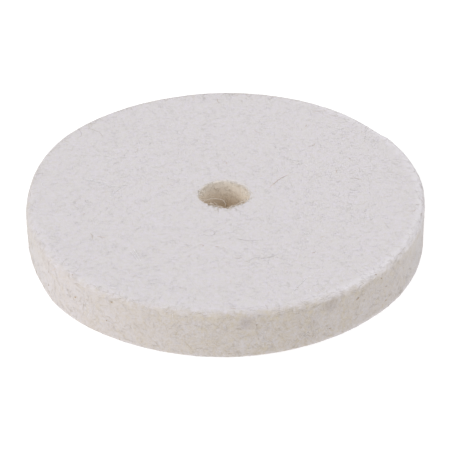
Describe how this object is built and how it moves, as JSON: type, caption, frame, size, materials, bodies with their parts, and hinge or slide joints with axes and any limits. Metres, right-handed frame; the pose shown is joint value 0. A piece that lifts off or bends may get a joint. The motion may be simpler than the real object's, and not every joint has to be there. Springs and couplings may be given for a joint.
{
  "type": "felt polishing wheel",
  "caption": "Flat round polishing wheel of hard pressed white felt, with softly rounded edges and a plain central bore for an arbor.",
  "frame": {"origin": "on the bore's axis, at half the wheel's thickness", "axes": "+Z along the bore's axis, out of the upper face; the wheel is the same all round, so X and Y may point anywhere across it"},
  "size_m": [0.075, 0.075, 0.0094],
  "materials": {
    "wool_felt": "matte"
  },
  "bodies": {
    "root": {"felt_wheel": "wool_felt"}
  },
  "joints": []
}
